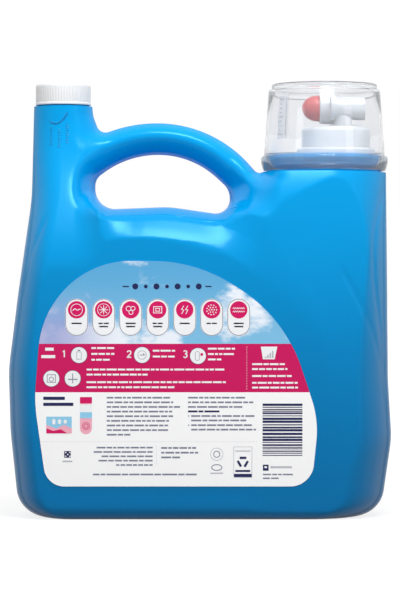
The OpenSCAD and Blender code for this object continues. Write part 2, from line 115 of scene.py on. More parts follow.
SIDE = [
    (-VENT_X - COLUMN_R, COLUMN_TOP, 0),
    (-0.885 * HALF_W, 0.923 * SHOULDER_Z, 150),
    (-0.957 * HALF_W, 0.640 * SHOULDER_Z, 170),
    (-1.005 * HALF_W, 0.428 * SHOULDER_Z, 85),
    (-0.996 * HALF_W, 0.248 * SHOULDER_Z, 120),
    (-0.949 * HALF_W, 0, 19),
    (0.947 * HALF_W, 0, 19),
    (1.006 * HALF_W, 0.225 * SHOULDER_Z, 55),
    (0.988 * HALF_W, 0.396 * SHOULDER_Z, 90),
    (CUP_X + SHOULDER_R, SHOULDER_Z, 0),
    (CUP_X - SHOULDER_R - 4, SHOULDER_Z, 5),
    (8.7, HANDLE_TOP, 80),
    (-43.3, HANDLE_TOP, 88),
    (-VENT_X + COLUMN_R + 5.1, HANDLE_TOP - 7.6, 6),
    (-VENT_X + COLUMN_R + 0.6, COLUMN_TOP - 6, 14),
    (-VENT_X + COLUMN_R, COLUMN_TOP, 0)]
HOLE = [
    (-46.3, HOLE_TOP, 59),
    (-68, HOLE_TOP - 15.6, 9),
    (-68, HOLE_BOTTOM - 1, 13),
    (-20, HOLE_BOTTOM + 0.9, 60),
    (19.3, HOLE_BOTTOM - 4.8, 9.3),
    (19.3, HOLE_BOTTOM + 12, 12.5),
    (-5.2, HOLE_TOP, 56)]
# Stretches of the silhouette: first and last corner, steps, share of the hole's edge
# where it begins, and whether the steps crowd to both ends
STRETCHES = [
    (0, 5, 64, 0.236, 0), (5, 5, 20, 0.279, 0), (5, 6, 76, 0.316, 1), (6, 6, 20, 0.600, 0),
    (6, 9, 56, 0.625, 0), (9, 10, 40, 0.665, 1), (10, 10, 8, 0.745, 0), (10, 13, 76, 0.775, 0),
    (13, 13, 12, 1.144, 0), (13, 15, 16, 1.172, 0), (15, 0, 36, 1.207, 1)]
HOLE_END = 1.236
EDGE_STEPS = 22
MID_STEPS = 58
HOLE_STEPS = 30
# Lines of the moulded side lands: a lens on the right, a long crease, and a wedge on the left
RIGHT_LAND = [
    (119.5, 214), (115.5, 200), (112.0, 186), (110.6, 170), (111.2, 152), (113.4, 133), (116.6, 112),
    (119.2, 92)]
LONG_CREASE = [(88, 163), (96.5, 147), (105, 131), (111, 116), (115.4, 100), (118, 84), (119.6, 66)]
# Crest where the flat front ends and leans back: over the label and down its right side
CREST = [
    (-110, 160), (-90, 168), (-73, 174), (-60, 177.3), (-46.8, 178.7), (-35.8, 178.9), (-27.3, 178.4),
    (-18.8, 177.5), (-10.3, 176.3), (-1.8, 174.5), (6.6, 172.0), (15.1, 169.2), (23, 164.8), (31.5, 158.8),
    (40.5, 151.5), (52, 141.8), (60.8, 133.5), (68.5, 124.5), (74, 114), (78, 104), (83, 84), (86, 55),
    (87.5, 30), (88, -10)]
# Second crest, on the leaning face right of the first
SIDE_CREST = [
    (38, 204), (46.8, 175.5), (57, 159.7), (64.6, 145.1), (71.5, 129.3), (77.9, 114.1), (84.2, 81.8),
    (88.6, 57.1), (89.3, 36.9), (89.5, -10)]
LEFT_WEDGE = [(-96.8, 196), (-101.0, 184), (-106.6, 171), (-111.5, 156), (-114.8, 139)]
# Each moulded line with the depth and the half width of its groove
CREASES = ((RIGHT_LAND, 1.5, 1.3), (LONG_CREASE, 0.9, 1.2), (LEFT_WEDGE, 1.1, 1.3))


def stretch(i, j):
    if i == j:
        return corner_of(SIDE, i)
    stop = j + len(SIDE) if j < i else j
    middle = [q for k in range(i + 1, stop) for q in corner_of(SIDE, k % len(SIDE))]
    return [corner_of(SIDE, i)[-1], *middle, corner_of(SIDE, j)[0]]


def step_shares(steps, crowded):
    u = np.arange(steps) / steps
    return (1 - np.cos(math.pi * u)) / 2 if crowded else u


def moved(points, t):
    """A closed line moved sideways by t, to the left of its direction."""
    a = points - np.roll(points, 1, axis=0)
    b = np.roll(points, -1, axis=0) - points
    a /= np.linalg.norm(a, axis=1)[:, None]
    b /= np.linalg.norm(b, axis=1)[:, None]
    na = np.c_[-a[:, 1], a[:, 0]]
    nb = np.c_[-b[:, 1], b[:, 0]]
    return points + (na + nb) * (t / (1 + (na * nb).sum(1)))[:, None]


def nearest(p, line):
    """Distance from each point of p to a line of points, and the way off it."""
    best = np.full(len(p), 1e9)
    way = np.zeros_like(p)
    for a, b in zip(line[:-1], line[1:]):
        d = b - a
        t = np.clip((p - a) @ d / max(d @ d, 1e-12), 0, 1)
        off = p - a - t[:, None] * d
        far = np.linalg.norm(off, axis=1)
        way = np.where((far < best)[:, None], off / np.maximum(far, 1e-9)[:, None], way)
        best = np.minimum(best, far)
    return best, way


def reach(p, line):
    return nearest(p, line)[0]


def past(p, line):
    """Distance to a line of points, counted as negative on its right hand."""
    line = np.array(line, float)
    best, side = np.full(len(p), 1e9), np.zeros(len(p))
    for a, b in zip(line[:-1], line[1:]):
        d = b - a
        t = np.clip((p - a) @ d / (d @ d), 0, 1)
        off = p - a - t[:, None] * d
        far = np.linalg.norm(off, axis=1)
        turn = d[0] * off[:, 1] - d[1] * off[:, 0]
        side = np.where(far < best, np.sign(turn), side)
        best = np.minimum(best, far)
    return best * side


def inside(p, loop):
    """Whether each point of p lies inside a closed loop."""
    hit = np.zeros(len(p), bool)
    for a, b in zip(loop, np.roll(loop, -1, axis=0)):
        crosses = (a[1] > p[:, 1]) != (b[1] > p[:, 1])
        x = a[0] + (p[:, 1] - a[1]) * (b[0] - a[0]) / (b[1] - a[1] + 1e-12)
        hit ^= crosses & (p[:, 0] < x)
    return hit


def ease(t):
    u = np.clip(t, 0, 1)
    return u * u * (3 - 2 * u)


def rounded(t, power=2.0):
    u = 1 - np.clip(t, 0, 1)
    return (1 - u ** power) ** (1 / power)


def mix(a, b, t):
    return a + (b - a) * t


def soft_ramp(t, r):
    return (t + np.sqrt(t * t + r * r)) / 2


def soft_min(a, b, r):
    return (a + b - np.sqrt((a - b) ** 2 + r * r)) / 2


# Label outline: shares of its width and height, and corner radius
LABEL_X = -15.4
LABEL_W = 177.0
LABEL_Z = 21.4
LABEL_H = 143.3
LABEL = [
    (-0.462, 0, 13), (-0.505, 0.373, 88), (-0.482, 0.744, 60), (-0.314, 0.996, 57),
    (0.073, 0.996, 95), (0.391, 0.744, 95), (0.511, 0.293, 63), (0.486, 0, 15)]


def label_line():
    corners = [(LABEL_X + u * LABEL_W, LABEL_Z + v * LABEL_H, r) for u, v, r in LABEL]
    line = rounded_line(corners)
    keep = np.linalg.norm(line - np.roll(line, 1, axis=0), axis=1) > 1e-6
    return line[keep]


# Bottle

def fullness(x, z, handle):
    """Half depth of the body before its edges are rounded, with or without its narrowing to the handle."""
    left = mix(HALF_DEPTH, COLUMN_R, ease((z - 150) / (COLUMN_TOP - 158)))
    right = HALF_DEPTH - (HALF_DEPTH - SHOULDER_R) * np.clip((z - 163) / (SHOULDER_Z - 163), 0, 1) ** 2
    middle = mix(HALF_DEPTH, HANDLE_HALF, ease((z - HOLE_BOTTOM + 14) / 30) * handle)
    on_left = 1 - ease((x + 80) / 25)
    on_right = ease((x - 18) / 34)
    return left * on_left + right * on_right + middle * (1 - on_left - on_right)


# Widths from the finger hole's edge: to the ridge round it, and to the back of the shelf below it
RIDGE = 13.7
TURN = 25.0
SHELF = 6.5
# Groove that closes the shelf at its back: depth, half width and distance past the shelf
GROOVE = 0.9
GROOVE_W = 0.9
GROOVE_OFF = 0.5
# Radius on which the skin turns in at the hole's edge, and share of its turn by the shelf
HOLE_LIP = 2.5
LIP_SHARE = 0.3
# Most that the front leans back above the crest, and its slopes over the hole and at the right
LEAN = 24.0
LEAN_SLOPE = 0.5
RIGHT_SLOPE = 0.05
SIDE_SLOPE = 0.10
# Radius of the body's right edge below the shoulder
RIGHT_R = 34
# Round seat of the cup, and how far it runs down the shoulder
SEAT_R = 39.9
SEAT_H = 26


def depth(p, left_side, right_side, top_line, hole_points):
    x, z = p[:, 0], p[:, 1]
    from_top = reach(p, top_line)
    from_hole, way = nearest(p, hole_points)
    right_r = mix(RIGHT_R, SHOULDER_R, ease((z - 165) / 50))
    top_r = np.where(x < -60, mix(COLUMN_R, 11, ease((x + 78) / 18)), mix(11, 16, ease((x - 8) / 60)))
    xl = np.interp(z, left_side[:, 1], left_side[:, 0])
    xr = np.interp(z, right_side[:, 1], right_side[:, 0])
    edges = rounded((x - xl) / (COLUMN_R + 1)) * rounded((xr - x) / right_r) * rounded(from_top / top_r)
    foot = 1 - (FOOT_R / HALF_DEPTH) * (1 - rounded(z / FOOT_R))
    body = fullness(x, z, 1) * edges * foot
    wide = fullness(x, z, 0) * edges * foot
    seat = np.sqrt(np.maximum(SEAT_R ** 2 - (x - CUP_X) ** 2, 0)) * (z > SHOULDER_Z - SEAT_H)
    body = np.maximum(body, seat)
    wide = np.maximum(wide, seat)
    # Round the finger hole the surface turns in from a crisp ridge
    share = rounded(from_hole / TURN) / rounded(RIDGE / TURN)
    around = soft_min(body, body * share + 0.05 * soft_ramp(from_hole - RIDGE, 1), 1.0)
    around = around * rounded(from_hole / HOLE_LIP)
    # The label panel is flat, and beyond the crest over it the front leans back to the shelf below the hole
    outline = label_line()
    out = np.where(inside(p, outline), 0, reach(p, np.vstack([outline, outline[:1]])))
    low_left = (1 - ease((z - 60) / 60)) * (1 - ease((x - 20) / 30))
    panel = PANEL_Y + PANEL_RECESS * ease((out - 4) / 9) * low_left
    beyond = past(p, CREST)
    run = np.maximum(beyond, 0)
    slope = mix(LEAN_SLOPE, RIGHT_SLOPE, ease(x / 44)) * ease((x + 74) / 32)
    back = slope * run * (1 + 0.04 * np.minimum(run, 16))
    back = LEAN * (1 - np.exp(-back / LEAN))
    aside = SIDE_SLOPE * soft_ramp(past(p, SIDE_CREST), 1.2) * ease((z - 20) / 40)
    front = panel - back - aside
    below = ease((-way[:, 1] - 0.05) / 0.85) * ease((beyond + 1) / 4)
    turn_in = mix(rounded(from_hole / SHELF, 1.25), rounded(from_hole / 1.5), LIP_SHARE)
    shelf = soft_min(wide, front, 0.3) * turn_in
    shelf = shelf - GROOVE * np.exp(-((from_hole - SHELF - GROOVE_OFF) / GROOVE_W) ** 2)
    full = mix(soft_min(around, front, 0.3), shelf, below)
    for line, fall, width in CREASES:
        line = np.array(line)
        near = reach(p, line)
        ends = ease((z - line[-1, 1]) / 16) * ease((line[0, 1] - z) / 10)
        full = full - fall * np.exp(-(near / width) ** 2) * ends
    return np.maximum(full, 0)


def bottle_skin():
    outline = np.vstack([along(stretch(i, j), step_shares(n, c)) for i, j, n, _, c in STRETCHES])
    hole_round = rounded_line(HOLE)
    hole_round = np.vstack([hole_round, hole_round[:1]])
    starts = [s[3] for s in STRETCHES] + [HOLE_END]
    shares = np.concatenate([mix(starts[k], starts[k + 1], step_shares(s[2], s[4]))
                             for k, s in enumerate(STRETCHES)]) % 1
    inner = along(hole_round, shares)
    left_side = np.array([*stretch(0, 5), *corner_of(SIDE, 5)])
    left_side = left_side[np.argsort(left_side[:, 1], kind="stable")]
    right_side = np.array([*corner_of(SIDE, 6), *stretch(6, 9)])
    top_line = np.array([(CUP_X - SHOULDER_R, 400), *corner_of(SIDE, 10), *stretch(10, 13),
                         *corner_of(SIDE, 13), *stretch(13, 15), (-VENT_X + COLUMN_R, 400)])
    rings = EDGE_STEPS + MID_STEPS + HOLE_STEPS
    rows = []
    for o, h in zip(outline, inner):
        length = np.linalg.norm(h - o)
        base = o[1] < 0.01
        flat_top = (abs(o[1] - COLUMN_TOP) < 0.01 and abs(o[0] + VENT_X) < COLUMN_R - 0.1
                    or abs(o[1] - SHOULDER_Z) < 0.01 and abs(o[0] - CUP_X) < SHOULDER_R - 0.1)
        edge_r = min(0.46 * length, 16 if flat_top or o[0] > 60 else 20)
        hole_r = min(0.5 * length, 24)
        j = np.arange(1, EDGE_STEPS + 1)
        lead = 1 - np.cos(math.pi / 2 * ((j - 1) / (EDGE_STEPS - 1) if base or flat_top else j / EDGE_STEPS))
        d = np.concatenate([
            edge_r * lead,
            mix(edge_r, length - hole_r, np.arange(1, MID_STEPS + 1) / MID_STEPS),
            length - hole_r * (1 - np.cos(math.pi / 2 * np.arange(HOLE_STEPS - 1, 0, -1) / HOLE_STEPS))])
        rows.append(o + (h - o) * (d / length)[:, None])
    front = np.array(rows)
    n = len(front)
    sides = (left_side, right_side, top_line, hole_round)
    height = depth(front.reshape(-1, 2), *sides).reshape(n, rings - 1)
    edge_x = np.clip(outline[:, 0], cad_box[0][0] / MM, cad_box[1][0] / MM)
    points = []
    for k in range(n):
        xs = np.clip(front[k][:, 0], cad_box[0][0] / MM, cad_box[1][0] / MM)
        face = [(px, -y, p[1]) for px, p, y in zip(xs, front[k], height[k])]
        back = [(px, -y, pz) for px, y, pz in face[::-1]]
        points += [(edge_x[k], 0, outline[k][1]), *face, (inner[k][0], 0, inner[k][1]), *back]
    m = 2 * rings
    faces = []
    for k in range(n):
        for j in range(m):
            nj = (j + 1) % m
            nk = (k + 1) % n
            faces.append((k * m + j, nk * m + j, nk * m + nj, k * m + nj))
    return np.array(points) * MM, faces, lambda p: -depth(np.array(p, float), *sides)


# Mesh helpers

def new_object(name, points, faces, smooth=True, angle=35):
    mesh = bpy.data.meshes.new(name)
    mesh.from_pydata([tuple(map(float, p)) for p in points], [], [tuple(map(int, f)) for f in faces])
    mesh.validate()
    shell = bmesh.new()
    shell.from_mesh(mesh)
    bmesh.ops.recalc_face_normals(shell, faces=shell.faces)
    shell.to_mesh(mesh)
    shell.free()
    obj = bpy.data.objects.new(name, mesh)
    bpy.context.scene.collection.objects.link(obj)
    if smooth:
        mesh.shade_smooth()
        mesh.set_sharp_from_angle(angle=math.radians(angle))
    return obj


def revolve(profile, steps=128, centre=(0, 0, 0)):
    """Points and faces of a closed profile of (radius, height) pairs turned round an upright axis."""
    points = []
    for i in range(steps):
        a = 2 * math.pi * i / steps
        for r, t in profile:
            c, s = r * math.cos(a), r * math.sin(a)
            points.append((c, s, t))
    m = len(profile)
    faces = []
    for i in range(steps):
        for j in range(m):
            nj = (j + 1) % m
            ni = (i + 1) % steps
            faces.append((i * m + j, ni * m + j, ni * m + nj, i * m + nj))
    return (np.array(points) + np.array(centre)) * MM, faces


def box_mesh(centre, size):
    cx, cy, cz = centre
    dx, dy, dz = [v / 2 for v in size]
    points = [(cx + a * dx, cy + b * dy, cz + c * dz) for a in (-1, 1) for b in (-1, 1) for c in (-1, 1)]
    faces = [(0, 1, 3, 2), (4, 6, 7, 5), (0, 4, 5, 1), (2, 3, 7, 6), (0, 2, 6, 4), (1, 5, 7, 3)]
    return np.array(points) * MM, faces


def joined(parts):
    points, faces, base = [], [], 0
    for p, f in parts:
        points.append(p)
        faces += [tuple(i + base for i in q) for q in f]
        base += len(p)
    return np.vstack(points), faces


def arc(cx, cy, r, a0, a1, n=6):
    return [(cx + r * math.cos(math.radians(mix(a0, a1, i / n))),
             cy + r * math.sin(math.radians(mix(a0, a1, i / n)))) for i in range(n + 1)]


# Materials

def material(name):
    mat = bpy.data.materials.new(name)
    mat.use_nodes = True
    return mat, mat.node_tree, mat.node_tree.nodes["Principled BSDF"]


def ramp(tree, value, start, stop, low=0.0, high=1.0, smooth=False):
    """Socket that goes from low to high as value goes from start to stop."""
    node = tree.nodes.new("ShaderNodeMapRange")
    if smooth:
        node.interpolation_type = "SMOOTHSTEP"
    ends = {"From Min": start, "From Max": stop, "To Min": low, "To Max": high}
    for end, place in ends.items():
        node.inputs[end].default_value = place
    tree.links.new(value, node.inputs["Value"])
    return node.outputs["Result"]


def blended(tree, share, first, second):
    """Socket that mixes two colours, each a tuple or a socket."""
    node = tree.nodes.new("ShaderNodeMix")
    node.data_type = "RGBA"
    tree.links.new(share, node.inputs[0])
    for i, color in ((6, first), (7, second)):
        if isinstance(color, tuple):
            node.inputs[i].default_value = (*color, 1)
        else:
            tree.links.new(color, node.inputs[i])
    return node.outputs[2]


def noise(tree, vector, scale, detail=2.0, roughness=0.5):
    node = tree.nodes.new("ShaderNodeTexNoise")
    node.inputs["Scale"].default_value = scale
    node.inputs["Detail"].default_value = detail
    node.inputs["Roughness"].default_value = roughness
    tree.links.new(vector, node.inputs["Vector"])
    return node.outputs["Fac"]


def object_axes(tree):
    """Object coordinates, and the three of them apart."""
    coords = tree.nodes.new("ShaderNodeTexCoord").outputs["Object"]
    axes = tree.nodes.new("ShaderNodeSeparateXYZ")
    tree.links.new(coords, axes.inputs["Vector"])
    return coords, axes.outputs


def plain_rays(tree):
    """Socket that is 1 for rays from the camera, in glass and off gloss, and 0 for the lighting's."""
    path = tree.nodes.new("ShaderNodeLightPath")
    seen = path.outputs["Is Camera Ray"]
    for kind in ("Is Transmission Ray", "Is Glossy Ray"):
        either = tree.nodes.new("ShaderNodeMath")
        either.operation = "MAXIMUM"
        tree.links.new(seen, either.inputs[0])
        tree.links.new(path.outputs[kind], either.inputs[1])
        seen = either.outputs[0]
    return seen


# Heights in metres between which a colour deepens towards the base, as painted shade
BASE_SHADE_LOW = -0.01
BASE_SHADE_HIGH = 0.27
CLOUDY = 14
GRAIN = 900.0
GRAIN_DEPTH = 0.0002


def plastic(name, color, roughness, bump=0.02, tone=0.03, specular=0.5, low=None):
    """Moulded plastic: a faint tone change over the surface and a fine grain in the gloss.

    Where a second colour is given, the colour deepens to it towards the base, as painted shade for light
    that falls off downwards.
    """
    mat, tree, shader = material(name)
    coords, axes = object_axes(tree)
    # Painted shade: where a low colour is given, the colour deepens to it towards the base
    height = ramp(tree, axes["Z"], BASE_SHADE_LOW, BASE_SHADE_HIGH, smooth=True)
    shaded_to_base = blended(tree, height, low or color, color)
    toned = tree.nodes.new("ShaderNodeVectorMath")
    toned.operation = "SCALE"
    tree.links.new(shaded_to_base, toned.inputs[0])
    drift = ramp(tree, noise(tree, coords, CLOUDY, 3), 0.3, 0.7, 1 - tone, 1 + tone)
    tree.links.new(drift, toned.inputs["Scale"])
    tree.links.new(toned.outputs[0], shader.inputs["Base Color"])
    fine = noise(tree, coords, GRAIN)
    gloss = ramp(tree, fine, 0, 1, roughness * 0.93, roughness * 1.07)
    tree.links.new(gloss, shader.inputs["Roughness"])
    relief = tree.nodes.new("ShaderNodeBump")
    relief.inputs["Strength"].default_value = bump
    relief.inputs["Distance"].default_value = GRAIN_DEPTH
    tree.links.new(fine, relief.inputs["Height"])
    tree.links.new(relief.outputs["Normal"], shader.inputs["Normal"])
    shader.inputs["Specular IOR Level"].default_value = specular
    return mat


def dress(obj, mat):
    obj.data.materials.clear()
    obj.data.materials.append(mat)
    return obj


# The blue's low colour is painted shade: the blue darkens towards the base as the overhead light falls off
BLUE = plastic("blue_polyethylene", (0.0, 0.325, 0.73), 0.22, bump=0.01, tone=0.01, specular=0.4,
               low=(0.0, 0.14, 0.36))
blue_tree = BLUE.node_tree
blue_shader = blue_tree.nodes["Principled BSDF"]
blue_shader.inputs["Specular Tint"].default_value = (0.24, 0.7, 1.0, 1)
# The blue keeps its colour towards its outline, so its gloss falls off there
facing = blue_tree.nodes.new("ShaderNodeLayerWeight")
facing.inputs["Blend"].default_value = 0.5
gloss_level = ramp(blue_tree, facing.outputs["Facing"], 0.35, 0.75, 0.40, 0.008)
blue_tree.links.new(gloss_level, blue_shader.inputs["Specular IOR Level"])
WHITE = plastic("white_polypropylene", (0.75, 0.755, 0.765), 0.4)
GREY = plastic("pale_grey_polypropylene", (0.47, 0.49, 0.52), 0.4)
OFF_WHITE = plastic("off_white_polypropylene", (0.44, 0.455, 0.475), 0.36)
RED = plastic("red_elastomer", (0.36, 0.035, 0.04), 0.45)
DARK = plastic("dark_elastomer", (0.08, 0.08, 0.09), 0.6)

# The marks moulded on the column get a deeper blue: painted shade standing in for the shade on their edges
BLUE_MARKS_PAINTED_SHADE = plastic("blue_marks_painted_shade", (0.0, 0.20, 0.48), 0.3, bump=0.01, tone=0.01, specular=0.4)

# Bottle: skin, collar with its snap bead, and the two necks
skin_points, skin_faces, surface = bottle_skin()
collar_r = 36.3
collar_top = SHOULDER_Z + 9.4
bead_z = SHOULDER_Z + 4.7
collar = revolve([(0.01, SHOULDER_Z - 1), (collar_r, SHOULDER_Z - 1), (collar_r, bead_z - 1.4),
                  (collar_r + 0.5, bead_z - 1.0), (collar_r + 1.1, bead_z - 0.4),
                  (collar_r + 1.1, bead_z + 0.4), (collar_r + 0.5, bead_z + 1.0), (collar_r, bead_z + 1.4),
                  *arc(collar_r - 0.8, collar_top - 0.8, 0.8, 0, 90), (0.01, collar_top)],
                 centre=(CUP_X, 0, 0), steps=160)
spout = revolve([(17.4, collar_top - 1), (19.5, collar_top - 1), (19.5, collar_top + 16.2),
                 (19.1, collar_top + 16.6), (17.4, collar_top + 16.6)], centre=(SPOUT_X, 0, 0))
vent = revolve([(12.9, COLUMN_TOP - 1), (15, COLUMN_TOP - 1), (15, COLUMN_TOP + 11),
                (14.6, COLUMN_TOP + 11.4), (12.9, COLUMN_TOP + 11.4)], centre=(-VENT_X, 0, 0))
# Helical thread on the vent neck
thread = []
thread_turns = 1.25
thread_steps = 90
for i in range(thread_steps + 1):
    a = 2 * math.pi * thread_turns * i / thread_steps
    z = COLUMN_TOP + 3 + 4.2 * thread_turns * i / thread_steps
    fade = 0.7 * min(1, i / 6, (thread_steps - i) / 6)
    for r, dz in ((14.8, -1.1), (15 + fade, -0.3), (15 + fade, 0.3), (14.8, 1.1)):
        thread.append((-VENT_X + r * math.cos(a), r * math.sin(a), z + dz))
thread_faces = [(i * 4 + j, i * 4 + (j + 1) % 4, i * 4 + 4 + (j + 1) % 4, i * 4 + 4 + j)
                for i in range(thread_steps) for j in range(4)]
thread_faces += [(0, 3, 2, 1), tuple(thread_steps * 4 + j for j in range(4))]
# Small lug on the collar that keys the cup
lug = box_mesh((CUP_X + 2.2, -collar_r - 0.7, collar_top - 3.2), (1.0, 1.2, 1.0))
bottle = new_object("bottle_body", *joined([(skin_points, skin_faces), collar, spout, vent, lug,
                                            (np.array(thread) * MM, thread_faces)]))
dress(bottle, BLUE)
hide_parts(*[n for n in ("bottle", "spout_neck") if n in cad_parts])
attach(bottle, "bottle")


# Raised marks on the column: a plain turning arrow and guide ridges, swept as half-round beads
def bead(line, r, sides=8):
    """A round bead along points (x, z), half sunk in the bottle's front."""
    line = np.array(line, float)
    y = surface(line)
    points = np.c_[line[:, 0], y, line[:, 1]]
    rows = []
    for i, q in enumerate(points):
        d = points[min(i + 1, len(points) - 1)] - points[max(i - 1, 0)]
        d /= np.linalg.norm(d)
        side = np.cross(d, (0, -1, 0))
        side /= np.linalg.norm(side)
        up = np.cross(side, d)
        shrink = 0.15 if i in (0, len(points) - 1) else 1
        rows += [q + shrink * r * (side * math.cos(a) + up * math.sin(a))
                 for a in [2 * math.pi * k / sides for k in range(sides)]]
    n = len(points)
    faces = [(i * sides + k, i * sides + (k + 1) % sides, (i + 1) * sides + (k + 1) % sides,
              (i + 1) * sides + k) for i in range(n - 1) for k in range(sides)]
    faces += [tuple(range(sides))[::-1], tuple((n - 1) * sides + k for k in range(sides))]
    return np.array(rows) * MM, faces


def curve(points, n=14):
    """A smooth line through a few given points."""
    t = np.linspace(0, 1, len(points))
    u = np.linspace(0, 1, n)
    points = np.array(points, float)
    degree = min(3, len(points) - 1)
    return np.c_[np.polyval(np.polyfit(t, points[:, 0], degree), u),
                 np.polyval(np.polyfit(t, points[:, 1], degree), u)]


marks = [
    bead(curve([(-97, 255), (-92.5, 253.2), (-88.5, 255.5), (-85.3, 260.5)]), 0.5),
    bead([(-85.3, 260.5), (-87.6, 259.2)], 0.45), bead([(-85.3, 260.5), (-84.9, 257.7)], 0.45)]
# Three columns of short ridges below the arrow, as on a grip
for column_x, top, count in ((-95.9, 250.2, 8), (-90.7, 248.8, 8), (-85.6, 253.2, 9)):
    for i in range(count):
        z = top - 1.55 * i
        half = 1.15 if i % 3 else 0.8
        marks.append(bead([(column_x - half, z), (column_x, z), (column_x + half, z)], 0.36))
# The marks carry the deeper blue as painted shade
relief = dress(new_object("column_marks", *joined(marks)), BLUE_MARKS_PAINTED_SHADE)
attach(relief, "bottle")

# Vent cap: rounded grip ribs over a plain lip, with a hollow inside
CAP_Z = COLUMN_TOP + 0.8
CAP_TOP = CAP_Z + 14
CAP_R = 18.0
CAP_RIBS = 60
rib_steps = 8
# Radius, height and share of the ribs' swell
cap_profile = [(CAP_R - 0.25, CAP_Z, 0), (CAP_R, CAP_Z + 0.25, 0), (CAP_R, CAP_Z + 1.35, 0),
               (CAP_R - 0.2, CAP_Z + 1.6, 0), (CAP_R - 0.4, CAP_Z + 1.75, 0.2),
               (CAP_R - 0.4, CAP_Z + 2.3, 1), (CAP_R - 0.4, CAP_TOP - 3.2, 1),
               (CAP_R - 0.4, CAP_TOP - 2.4, 0.8)]
top_edge = arc(CAP_R - 2.4, CAP_TOP - 2, 2, 0, 90, 7)
cap_profile += [(r, z, 0.6 * (1 - k / 7)) for k, (r, z) in enumerate(top_edge)]
cap_profile += [(9, CAP_TOP, 0), (0.01, CAP_TOP, 0), (0.01, CAP_TOP - 1.7, 0),
                (CAP_R - 1.9, CAP_TOP - 1.7, 0), (CAP_R - 1.9, CAP_Z, 0)]
cap_points = []
turns = CAP_RIBS * rib_steps
for i in range(turns):
    a = 2 * math.pi * i / turns
    swell = 0.2 * (0.5 + 0.5 * math.cos(2 * math.pi * i / rib_steps)) ** 0.6
    for r, z, share in cap_profile:
        q = r + swell * share
        cap_points.append((-VENT_X + q * math.cos(a), q * math.sin(a), z))
m = len(cap_profile)
cap_faces = [(i * m + j, (i + 1) % turns * m + j, (i + 1) % turns * m + (j + 1) % m, i * m + (j + 1) % m)
             for i in range(turns) for j in range(m)]
cap = dress(new_object("vent_cap_ribbed", np.array(cap_points) * MM, cap_faces, angle=50), WHITE)
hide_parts("vent_cap")
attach(cap, "vent_cap")

# Dosing cup: a thin clear shell with a step at its closed end and a flared skirt
CUP_TOP = 279.5
cup_z0 = SHOULDER_Z + 1.2
skirt_z = SHOULDER_Z + 11.5
ring_z = CUP_TOP - 3.5
outer = [(0.01, CUP_TOP), (20, CUP_TOP), *arc(33.0, CUP_TOP - 1.2, 1.2, 90, 0),
         (34.2, ring_z + 0.5), (34.5, ring_z - 0.1), (35.4, ring_z - 0.3), (36.0, ring_z - 0.8),
         (36.25, ring_z - 1.6), (37.5, 256), (39.1, skirt_z + 0.6), (39.3, skirt_z - 0.2),
         (40.4, skirt_z - 0.9),
         (41.0, skirt_z - 1.8), (41.2, skirt_z - 3), (40.9, skirt_z - 6), (40.1, cup_z0 + 1.4),
         (39.6, cup_z0 + 0.2), (39.3, cup_z0)]
inner = [(38.1, cup_z0), (37.8, cup_z0 + 0.4), (37.8, skirt_z), (36.2, 256), (34.8, ring_z - 2),
         (34.1, ring_z - 1.2), (33.0, ring_z - 0.8), (32.9, ring_z - 0.2),
         *arc(31.9, CUP_TOP - 2.3, 1.0, 0, 90), (20, CUP_TOP - 1.3), (0.01, CUP_TOP - 1.3)]
cup_profile = outer + inner
cup = new_object("dosing_cup_shell", *revolve(cup_profile, steps=160, centre=(CUP_X, 0, 0)), angle=40)
clear, clear_tree, clear_shader = material("clear_polypropylene")
clear_shader.inputs["Transmission Weight"].default_value = 1
clear_shader.inputs["IOR"].default_value = 1.36
clear_coords, clear_axes = object_axes(clear_tree)
clear_gloss = ramp(clear_tree, noise(clear_tree, clear_coords, 60), 0, 1, 0.02, 0.06)
clear_tree.links.new(clear_gloss, clear_shader.inputs["Roughness"])
# The shell is faintly hazy, more so in its thick skirt, and lets lamp light through to what it covers. The
# skirt's darker greys are partly its thicker wall and partly painted shade on the collar beneath it.
SKIRT_FROM = (skirt_z + 0.5) * MM
SKIRT_TO = (skirt_z - 1.5) * MM
skirt_wall_and_shade = ramp(clear_tree, clear_axes["Z"], SKIRT_FROM, SKIRT_TO)
haze_share = ramp(clear_tree, clear_axes["Z"], SKIRT_FROM, SKIRT_TO, 0.07, 0.20)
haze = clear_tree.nodes.new("ShaderNodeBsdfDiffuse")
see_through = clear_tree.nodes.new("ShaderNodeBsdfTransparent")
# Colours of the clear wall and of the skirt; the skirt's dark greys are partly painted shade over the collar
for target, thin, thick in (
        (see_through.inputs["Color"], (0.88, 0.89, 0.90), (0.30, 0.32, 0.34)),
        (haze.inputs["Color"], (0.66, 0.68, 0.71), (0.30, 0.34, 0.39)),
        (clear_shader.inputs["Base Color"], (0.91, 0.915, 0.925), (0.62, 0.65, 0.69))):
    clear_tree.links.new(blended(clear_tree, skirt_wall_and_shade, thin, thick), target)


def shader_mix(tree, share, first, second):
    node = tree.nodes.new("ShaderNodeMixShader")
    tree.links.new(share, node.inputs["Fac"])
    tree.links.new(first.outputs[0], node.inputs[1])
    tree.links.new(second.outputs[0], node.inputs[2])
    return node


shadow_path = clear_tree.nodes.new("ShaderNodeLightPath")
hazy = shader_mix(clear_tree, haze_share, clear_shader, haze)
hazy_or_shadow = shader_mix(clear_tree, shadow_path.outputs["Is Shadow Ray"], hazy, see_through)
clear_tree.links.new(hazy_or_shadow.outputs[0], clear_tree.nodes["Material Output"].inputs["Surface"])
dress(cup, clear)
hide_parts("dosing_cup")
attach(cup, "cup")


# Frosted measure strip on the cup, with plain graduation ticks
def cup_radius(z):
    line = sorted((q[1], q[0]) for q in outer)
    return float(np.interp(z, [q[0] for q in line], [q[1] for q in line]))


